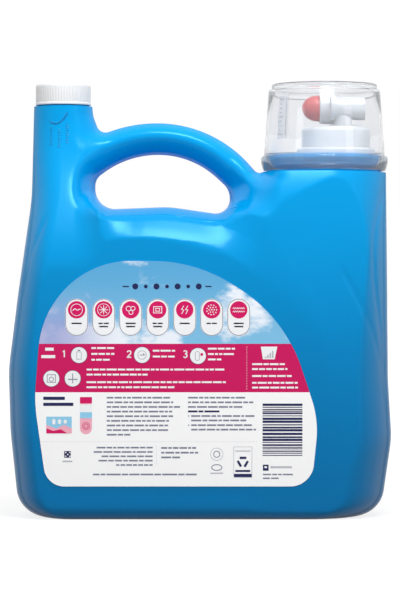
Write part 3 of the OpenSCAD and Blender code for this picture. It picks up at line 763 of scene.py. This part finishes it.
def cup_patch(a0, a1, z0, z1, out, thick, steps=10):
    """A thin curved plate on the outside of the cup, between two angles and two heights."""
    points = []
    for lift in (out, out + thick):
        for i in range(steps + 1):
            a = math.radians(mix(a0, a1, i / steps))
            for z in (z0, z1):
                r = cup_radius(z) + lift
                points.append((CUP_X + r * math.cos(a), r * math.sin(a), z))
    n = 2 * (steps + 1)
    faces = []
    for i in range(steps):
        a = 2 * i
        faces += [(a, a + 2, a + 3, a + 1), (n + a, n + a + 1, n + a + 3, n + a + 2),
                  (a, n + a, n + a + 2, a + 2), (a + 1, a + 3, n + a + 3, n + a + 1)]
    faces += [(0, 1, n + 1, n), (n - 2, 2 * n - 2, 2 * n - 1, n - 1)]
    return np.array(points) * MM, faces


frost = plastic("frosted_strip", (0.72, 0.74, 0.77), 0.55)
frost.node_tree.nodes["Principled BSDF"].inputs["Alpha"].default_value = 0.30
strip_a0, strip_a1 = 215.5, 229.5
strip_mesh = cup_patch(strip_a0, strip_a1, 243.0, 270.5, 0.02, 0.06)
strip = dress(new_object("cup_measure_strip", *strip_mesh), frost)
ticks = []
for k in range(9):
    wide = k % 4 == 0
    z = 245.5 + 2.8 * k
    ticks.append(cup_patch(strip_a0 + 2, strip_a0 + (8 if wide else 5), z, z + 0.5, 0.1, 0.06, 3))
ticks.append(cup_patch(226.6, 227.4, 245.5, 268.4, 0.1, 0.06, 2))
tick_mat = plastic("graduation_print", (0.50, 0.52, 0.56), 0.5)
tick_mat.node_tree.nodes["Principled BSDF"].inputs["Alpha"].default_value = 0.45
tick_obj = dress(new_object("cup_graduation", *joined(ticks)), tick_mat)
for piece in (strip, tick_obj):
    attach(piece, "cup")

# Label film, with its colour fields by height: sky with soft clouds, band, and plain white panel
BAND_Z0 = 81.0
BAND_Z1 = 111.7
LABEL_Y = -PANEL_Y - 0.3


def prism(line, y0, y1):
    """A closed plate of an (x, z) outline between two depths."""
    n = len(line)
    points = [(x, y0, z) for x, z in line] + [(x, y1, z) for x, z in line]
    faces = [tuple(range(n)), tuple(range(2 * n - 1, n - 1, -1))]
    faces += [(i, n + i, n + (i + 1) % n, (i + 1) % n) for i in range(n)]
    return np.array(points) * MM, faces


film, film_tree, film_shader = material("label_film")
nodes, links = film_tree.nodes, film_tree.links
film_coords, axes = object_axes(film_tree)


def film_math(kind, a, b):
    node = nodes.new("ShaderNodeMath")
    node.operation = kind
    for i, v in enumerate((a, b)):
        if isinstance(v, (int, float)):
            node.inputs[i].default_value = v
        else:
            links.new(v, node.inputs[i])
    return node.outputs[0]


def film_mix(share, first, second):
    return blended(film_tree, share, first, second)


def film_range(value, start, stop):
    return ramp(film_tree, value, start, stop, smooth=True)


# Colours of the label's fields
SKY_HIGH = (0.10, 0.385, 0.67)
SKY_LOW = (0.21, 0.51, 0.76)
CLOUD_WHITE = (0.84, 0.89, 0.96)
VIOLET = (0.33, 0.36, 0.66)
PANEL_WHITE = (0.96, 0.96, 0.965)
BAND_MAGENTA = (0.57, 0.006, 0.107)
stretch_map = nodes.new("ShaderNodeMapping")
stretch_map.inputs["Scale"].default_value = (1, 1, 1.7)
stretch_map.inputs["Location"].default_value = (0.4, 0, 0.13)
links.new(film_coords, stretch_map.inputs["Vector"])
cloud = noise(film_tree, stretch_map.outputs[0], 26, 7, 0.56)
# Clouds lie low in the sky and thin out to the right, and the sky is violet at the low left
low = film_range(axes["Z"], 0.146, 0.118)
right_less = film_range(axes["X"], 0.062, -0.02)
amount = film_math("MULTIPLY", low, film_math("ADD", film_math("MULTIPLY", right_less, 0.65), 0.35))
cover = film_range(film_math("ADD", cloud, film_math("MULTIPLY", amount, 0.20)), 0.60, 0.74)
sky = film_mix(film_range(axes["Z"], 0.166, 0.112), SKY_HIGH, SKY_LOW)
clouds = film_mix(cover, sky, CLOUD_WHITE)
low_left = film_math("MULTIPLY", film_range(axes["X"], -0.05, -0.09), film_range(axes["Z"], 0.150, 0.120))
clouded = film_mix(film_math("MULTIPLY", low_left, 0.8), clouds, VIOLET)
above_white = film_math("GREATER_THAN", axes["Z"], BAND_Z0 * MM)
above_band = film_math("GREATER_THAN", axes["Z"], BAND_Z1 * MM)
lower_fields = film_mix(above_white, PANEL_WHITE, BAND_MAGENTA)
links.new(film_mix(above_band, lower_fields, clouded), film_shader.inputs["Base Color"])
film_gloss = ramp(film_tree, noise(film_tree, film_coords, 300), 0, 1, 0.36, 0.44)
links.new(film_gloss, film_shader.inputs["Roughness"])
film_shader.inputs["Specular IOR Level"].default_value = 0.25
outline = label_line()
label = dress(new_object("back_label_film", *prism(outline, -PANEL_Y, LABEL_Y), smooth=False), film)
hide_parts("back_label")
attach(label, "bottle")

# Printing on the label, as thin layers of plain shapes
INKS = {"navy": (0.010, 0.014, 0.075), "white": (0.88, 0.89, 0.91), "magenta": (0.63, 0.006, 0.118),
        "grey": (0.20, 0.22, 0.29), "pale": (0.48, 0.49, 0.54), "pink": (0.86, 0.42, 0.52),
        "blue": (0.28, 0.60, 0.82)}
prints = {}
LAYER = 0.04


def put(ink, layer, line):
    y = LABEL_Y - LAYER * layer
    prints.setdefault(ink, []).append(prism(line, y + LAYER / 2, y - LAYER / 2))


def rect(x0, z0, x1, z1):
    return [(x0, z0), (x1, z0), (x1, z1), (x0, z1)]


def disc(x, z, r, n=28, squeeze=1.0):
    angles = [2 * math.pi * k / n for k in range(n)]
    return [(x + r * math.cos(a), z + squeeze * r * math.sin(a)) for a in angles]


def pill(x, z, w, h, n=10):
    r = w / 2
    angles = [math.pi * k / n for k in range(n + 1)]
    top = [(x + r * math.cos(a), z + h / 2 - r + r * math.sin(a)) for a in angles]
    foot = [(x - r * math.cos(a), z - h / 2 + r - r * math.sin(a)) for a in angles]
    return top + foot


def stroke(ink, layer, line, w):
    """A line of the given width: a short bar along each of its parts, and a dot at each turn."""
    for (x0, z0), (x1, z1) in zip(line[:-1], line[1:]):
        d = math.hypot(x1 - x0, z1 - z0)
        u, v = (x1 - x0) / d * w / 2, (z1 - z0) / d * w / 2
        put(ink, layer, [(x0 + v, z0 - u), (x1 + v, z1 - u), (x1 - v, z1 + u), (x0 - v, z0 + u)])
    for x, z in line[1:-1]:
        put(ink, layer + 0.2, disc(x, z, w / 2, 8))


def hoop(ink, layer, line, w):
    """A closed band of width w, inside the given closed line."""
    edge = np.array(line)
    inner_edge = moved(edge, w)
    n = len(edge)
    y = LABEL_Y - LAYER * layer
    depths = (y + LAYER / 2, y - LAYER / 2)
    points = [(x, at, z) for at in depths for ring in (edge, inner_edge) for x, z in ring]
    faces = []
    for i in range(n):
        k = (i + 1) % n
        faces += [(i, n + i, n + k, k), (2 * n + i, 2 * n + k, 3 * n + k, 3 * n + i),
                  (i, k, 2 * n + k, 2 * n + i), (n + i, 3 * n + i, 3 * n + k, n + k)]
    prints.setdefault(ink, []).append((np.array(points) * MM, faces))


# Gap between the bars of a row
SPACE = 0.7


def words(ink, x0, z, lengths, h):
    """A row of plain bars with gaps, where small print stands."""
    x = x0
    for w in lengths:
        put(ink, 1, rect(x, z - h / 2, x + w, z + h / 2))
        x += w + SPACE


def paragraph(ink, x0, z_top, width, rows, pitch, h, seed, right=False, last=0.6):
    pick = np.random.default_rng(seed)
    for k in range(rows):
        goal = width * (last if k == rows - 1 else pick.uniform(0.82, 1.0))
        lengths = []
        while sum(lengths) + SPACE * len(lengths) < goal - 1.2:
            left = goal - sum(lengths) - SPACE * len(lengths)
            lengths.append(min(left, pick.uniform(1.8, 6.5)))
        total = sum(lengths) + SPACE * (len(lengths) - 1)
        words(ink, x0 + (width - total if right else 0), z_top - pitch * k, lengths, h)


# Sky field: a row of round marks, and seven capsules with plain glyphs
for k in range(7):
    put("navy", 1, disc(-41.0 + 6.7 * k, 148, 1.9 if k % 2 == 0 else 1.2, 20))
stroke("navy", 1, [(-49, 148), (-45, 148)], 0.8)
stroke("navy", 1, [(3.3, 148), (7.3, 148)], 0.8)
CAPSULE_X0 = -78.1
CAPSULE_PITCH = 17.1
for k in range(7):
    x = CAPSULE_X0 + CAPSULE_PITCH * k
    put("white", 1, pill(x, 128.5, 14.6, 23.7))
    hoop("navy", 2, pill(x, 128.5, 14.2, 23.3), 0.28)
    put("magenta", 2, disc(x, 133.2, 5.5, 36))
    words("grey", x - 3.2, 124.6, [6.4] if k % 2 == 0 else [2.6, 3.1], 0.9)
    if k not in (0, 4, 5):
        words("grey", x - 2.8, 122.6, [5.6], 0.9)
g = 133.2
x = CAPSULE_X0
hoop("white", 3, disc(x, g, 3.9, 24), 0.35)
stroke("white", 3, [(x - 2.6, g - 0.6), (x - 1.2, g + 0.7), (x + 0.4, g - 0.3), (x + 2.5, g + 0.6)], 0.45)
x += CAPSULE_PITCH
for a in range(0, 180, 45):
    c, q = 2.9 * math.cos(math.radians(a)), 2.9 * math.sin(math.radians(a))
    stroke("white", 3 + a / 200, [(x - c, g - q), (x + c, g + q)], 0.4)
hoop("white", 3, disc(x, g, 4.0, 24), 0.3)
x += CAPSULE_PITCH
for dx, dz, r in ((-1.4, 0.8, 1.7), (1.5, 0.9, 1.5), (0.2, -1.6, 1.5)):
    hoop("white", 3, disc(x + dx, g + dz, r, 18), 0.4)
x += CAPSULE_PITCH
hoop("white", 3, rect(x - 2.8, g - 2.2, x + 2.8, g + 2.2), 0.45)
hoop("white", 3, rect(x - 1.4, g - 1.1, x + 1.4, g + 1.1), 0.4)
x += CAPSULE_PITCH
for dx in (-1.3, 1.3):
    bolt = ((0.8, 2.6), (-0.8, 0.2), (0.7, -0.1), (-0.6, -2.6))
    stroke("white", 3, [(x + dx + a, g + b) for a, b in bolt], 0.45)
x += CAPSULE_PITCH
for ring_r, count in ((0, 1), (1.6, 6), (3.1, 11)):
    for i in range(count):
        a = 2 * math.pi * i / count
        put("white", 3, disc(x + ring_r * math.cos(a), g + ring_r * math.sin(a), 0.42, 10))
x += CAPSULE_PITCH
for dz in (-1.2, 0.9):
    stroke("white", 3, [(x - 3.8 + 0.63 * i, g + dz + (0.5 if i % 2 else -0.3)) for i in range(13)], 0.35)

# Band: steps with numbers, small print, dotted divider and a measuring-cup sign
words("white", -98, 108.3, [5.4], 1.9)
words("white", -100.5, 103.6, [8.8], 1.9)
DIGITS = {
    "1": [[(-0.9, 1.3), (0, 2.1), (0, -2.1)]],
    "2": [[(-1.2, 1.2), (-0.5, 2.0), (0.6, 2.0), (1.2, 1.2), (0.9, 0.2), (-1.2, -2.0), (1.3, -2.0)]],
    "3": [[(-1.2, 1.6), (-0.3, 2.1), (0.8, 1.8), (1.0, 0.8), (0.0, 0.1), (1.1, -0.6), (0.9, -1.8),
           (-0.2, -2.2), (-1.2, -1.6)]]}
for digit, dx in (("1", -85.9), ("2", -44.9), ("3", -9.3)):
    for line in DIGITS[digit]:
        stroke("white", 1, [(dx + a, 105.2 + b) for a, b in line], 0.75)
SIGNS = ((-76.6, 104.6), (-36.7, 104.6), (-1.3, 104.0), (-94.1, 89.7), (-80.6, 89.7))
for x, z in SIGNS:
    put("white", 1, disc(x, z, 5.3, 36))
    hoop("navy", 2, disc(x, z, 5.3, 36), 0.25)
x, z = SIGNS[0]
hoop("pale", 2, rect(x - 1.7, z - 2.9, x + 1.7, z + 2.2), 0.45)
stroke("grey", 2, [(x - 0.8, z + 2.9), (x + 0.8, z + 2.9)], 0.7)
x, z = SIGNS[1]
hoop("pale", 2, disc(x, z, 2.9, 24), 0.45)
stroke("grey", 3, [(x - 1.6, z), (x + 1.6, z), (x + 0.6, z + 1.0)], 0.45)
x, z = SIGNS[2]
hoop("pale", 2, pill(x - 0.4, z, 3.0, 6.2), 0.45)
put("magenta", 3, disc(x + 2.4, z + 1.0, 0.9, 14))
x, z = SIGNS[3]
hoop("grey", 2, rect(x - 2.8, z - 2.6, x + 2.8, z + 2.6), 0.4)
hoop("grey", 2, disc(x, z - 0.4, 1.6, 18), 0.4)
x, z = SIGNS[4]
stroke("grey", 2, [(x, z + 3.2), (x, z - 3.0)], 0.5)
stroke("grey", 3, [(x - 3.0, z - 0.5), (x + 3.0, z - 0.5)], 0.6)
paragraph("white", -68.8, 109.0, 17.4, 3, 3.7, 1.15, 3, last=0.7)
paragraph("white", -29.9, 107.3, 15.4, 2, 3.7, 1.15, 4, last=0.9)
paragraph("white", 5.0, 108.6, 19.6, 3, 3.4, 1.15, 5, last=0.5)
paragraph("white", -71.8, 95.4, 96.5, 2, 3.2, 1.15, 6, last=0.4)
paragraph("white", -71.8, 87.4, 94.5, 2, 3.2, 1.15, 7, last=0.6)
for k in range(17):
    put("white", 1, disc(29.6, 109.6 - 1.65 * k, 0.26, 8))
cup_sign = [(38.5, 109.9), (39.8, 101.9), (47.2, 101.9), (48.9, 109.9)]
put("white", 1, cup_sign)
for k in range(4):
    put("pale", 2, rect(41.0 + 1.5 * k, 102.6, 42.0 + 1.5 * k, 103.6 + 1.2 * k))
paragraph("white", 33.0, 98.8, 23.5, 2, 3.1, 1.15, 8, last=0.95)
paragraph("white", 33.0, 91.3, 25, 1, 3.1, 1.15, 9, last=1)
paragraph("white", 33.0, 87.0, 29, 2, 3.0, 1.15, 10, last=1)

# White panel: headings, small print, plain pictures, rules and bars
words("navy", -99.2, 77.2, [13.6], 2.0)
words("navy", -99.2, 73.4, [19.0], 2.0)
put("blue", 1, rect(-97.3, 55.0, -81.2, 65.6))
put("pink", 2, [(-97.3, 55.0), (-81.2, 55.0), (-81.2, 58.2), (-86, 60.4), (-91, 58.0), (-97.3, 60.4)])
put("magenta", 3, [(-97.3, 55.0), (-84, 55.0), (-88, 57.6), (-93, 56.6), (-97.3, 58.2)])
for k in range(3):
    put("white", 3, pill(-92.5 + 3.6 * k, 62.4, 2.0, 3.6 - 0.5 * k))
put("pink", 1, pill(-72.2, 65.2, 7.6, 21.5))
put("magenta", 2, rect(-76, 74.0, -68.4, 78.0))
put("blue", 2, rect(-76, 64.6, -68.4, 68.4))
put("white", 2, rect(-76, 68.4, -68.4, 73.4))
for k, r in enumerate((2.4, 1.5)):
    hoop("magenta", 2 + k, disc(-72.2, 59.6, r, 20), 0.35)
paragraph("grey", -59.0, 77.6, 47.5, 9, 2.93, 1.05, 11, last=0.35)
paragraph("grey", -7.6, 77.6, 43, 3, 2.93, 1.05, 12, last=0.8)
words("navy", -7.6, 68.9, [6, 3, 9.5], 1.15)
paragraph("grey", -5.6, 66.0, 41, 2, 2.8, 1.05, 13, last=0.85)
paragraph("grey", -5.6, 60.2, 41, 2, 2.8, 1.05, 14, last=1)
for z in (66.0, 60.2):
    put("grey", 1, disc(-7.2, z, 0.45, 8))
for k in range(84):
    put("pale", 1, disc(-100.5 + 1.64 * k, 49.7, 0.24, 6))
put("navy", 1, rect(-86.0, 35.4 + 4.2, -81.8, 43.8))
for i in range(3):
    for j in range(3):
        if (i + j) % 2 == 0:
            put("white", 2, rect(-85.4 + 1.3 * i, 40.1 + 1.2 * j, -84.6 + 1.3 * i, 40.9 + 1.2 * j))
words("pale", -87.0, 37.3, [6.2], 0.9)
paragraph("grey", -67.5, 46.0, 37.5, 5, 2.75, 1.0, 15, right=True, last=0.62)
for k in range(7):
    put("pale", 1, disc(-27.4, 46.6 - 1.75 * k, 0.25, 6))
paragraph("grey", -24.6, 45.8, 24.0, 3, 3.0, 1.1, 16, last=0.5)
words("grey", -67.8, 29.0, [4.2, 3, 9, 4, 6.5, 8, 4.2, 9.5, 4, 7], 1.05)
hoop("pale", 1, disc(10.6, 41.8, 4.1, 28), 0.32)
hoop("grey", 1, disc(10.6, 41.8, 2.2, 20), 0.5)
hoop("grey", 1, disc(10.6, 33.4, 3.5, 28, 0.6), 0.55)
words("pale", 6.6, 29.8, [8], 0.8)
hoop("pale", 1, rect(21.2, 27.0, 33.0, 46.6), 0.32)
put("pale", 2, rect(22.2, 43.6, 32.0, 44.2))
for a in (90, 210, 330):
    c, q = math.cos(math.radians(a)), math.sin(math.radians(a))
    d = math.radians(a + 90)
    mx, mz = 27.1 + 2.5 * c, 37.0 + 2.5 * q
    u, v = math.cos(d), math.sin(d)
    stroke("navy", 1, [(mx - 2.2 * u, mz - 2.2 * v), (mx + 2.0 * u, mz + 2.0 * v)], 1.5)
words("navy", 22.4, 31.2, [9.4], 1.3)
put("navy", 1, rect(21.5, 27.3, 32.7, 29.4))
BARS_Z0, BARS_Z1 = 40.8, 74.6
bar_pick = np.random.default_rng(21)
z = BARS_Z0
while z < BARS_Z1 - 1.2:
    h = float(bar_pick.choice([0.36, 0.55, 0.75, 1.1, 1.45]))
    put("navy", 1, rect(39.6, z, 64.8, min(BARS_Z1, z + h)))
    z += h + float(bar_pick.choice([0.4, 0.6, 0.85]))
put("navy", 1, rect(39.8, 31.4, 43.4, 35.2))
put("white", 2, rect(40.8, 33.0, 42.4, 34.2))
words("pale", 44.6, 33.6, [13.5], 1.3)
paragraph("grey", 39.8, 29.0, 22.5, 2, 2.4, 0.9, 18, last=0.5)
for ink, made in prints.items():
    tint = INKS[ink]
    ink_mat = plastic("ink_" + ink, tint, 0.42, bump=0.01, tone=0.03, specular=0.25)
    piece = dress(new_object("label_print_" + ink, *joined(made), smooth=False), ink_mat)
    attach(piece, "bottle")

NODE_MATERIALS = {
    "vent_liner": WHITE, "tap_closure": GREY, "closure_gasket": DARK, "tap_body": OFF_WHITE,
    "button_ring": OFF_WHITE, "push_button": RED, "valve_stem": WHITE, "valve_seal": DARK}
for node, mat in NODE_MATERIALS.items():
    dress(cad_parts[node], mat)

# Camera: straight on, from as far as the small change of size with depth tells
scene = bpy.context.scene
VIEW_DISTANCE = 2.0
VIEW_Z = 0.1391
PIXEL = 0.00065
camera = bpy.data.objects.new("camera", bpy.data.cameras.new("camera"))
scene.collection.objects.link(camera)
camera.location = (0.0003, -VIEW_DISTANCE, VIEW_Z)
camera.rotation_euler = (math.radians(90), 0, 0)
camera.data.sensor_width = 36
camera.data.lens = 36 * VIEW_DISTANCE / (601 * PIXEL)
scene.camera = camera


# Floor, surround and lamps
def lamp(name, place, aim, size, energy):
    data = bpy.data.lights.new(name, "AREA")
    data.shape = "RECTANGLE"
    data.size, data.size_y = size
    data.energy = energy
    obj = bpy.data.objects.new(name, data)
    scene.collection.objects.link(obj)
    obj.location = place
    obj.rotation_euler = (Vector(aim) - Vector(place)).to_track_quat("-Z", "Y").to_euler()
    return obj


floor_mesh = bpy.data.meshes.new("floor")
FLOOR_R = 60
floor_mesh.from_pydata([(-FLOOR_R, -FLOOR_R, 0), (FLOOR_R, -FLOOR_R, 0), (FLOOR_R, FLOOR_R, 0),
                        (-FLOOR_R, FLOOR_R, 0)], [], [(0, 1, 2, 3)])
floor = bpy.data.objects.new("floor", floor_mesh)
scene.collection.objects.link(floor)
floor_mat, floor_tree, floor_shader = material("pale_floor")
floor_shader.inputs["Base Color"].default_value = (0.22, 0.22, 0.22, 1)
floor_shader.inputs["Roughness"].default_value = 0.9
floor_shader.inputs["Specular IOR Level"].default_value = 0.1
# Far from the object the floor turns into the white surround
floor_coords = floor_tree.nodes.new("ShaderNodeTexCoord").outputs["Object"]
floor_far = floor_tree.nodes.new("ShaderNodeVectorMath")
floor_far.operation = "LENGTH"
floor_tree.links.new(floor_coords, floor_far.inputs[0])
floor_lift = floor_tree.nodes.new("ShaderNodeMath")
floor_lift.operation = "MULTIPLY"
floor_tree.links.new(plain_rays(floor_tree), floor_lift.inputs[0])
floor_ramp = ramp(floor_tree, floor_far.outputs["Value"], 0.25, 1.2, 0.82, 1.0)
floor_tree.links.new(floor_ramp, floor_lift.inputs[1])
floor_shader.inputs["Emission Color"].default_value = (1, 1, 1, 1)
floor_tree.links.new(floor_lift.outputs[0], floor_shader.inputs["Emission Strength"])
dress(floor, floor_mat)

world = bpy.data.worlds.new("studio")
scene.world = world
world.use_nodes = True
# White where it is seen, and dimmer where it lights
surround = world.node_tree.nodes["Background"]
surround.inputs["Color"].default_value = (1, 1, 1, 1)
surround_level = ramp(world.node_tree, plain_rays(world.node_tree), 0, 1, 0.36, 1.0)
world.node_tree.links.new(surround_level, surround.inputs["Strength"])

overhead = lamp("overhead", (0.0, -0.45, 0.95), (0, 0, 0.16), (1.1, 0.6), 2.4)
# The broad lamp only fills; the narrow one also gives the highlights
overhead.visible_glossy = False
lamp("key", (0.12, -0.5, 0.93), (0.06, 0, 0.16), (0.36, 0.25), 5.6)
for name, place in (("left_panel", (-1.1, -0.9, 0.45)), ("right_panel", (1.1, -0.9, 0.45))):
    panel_lamp = lamp(name, place, (0, 0, 0.14), (0.4, 1.0), 5.4)
    panel_lamp.visible_glossy = False
scene.view_settings.view_transform = "Standard"
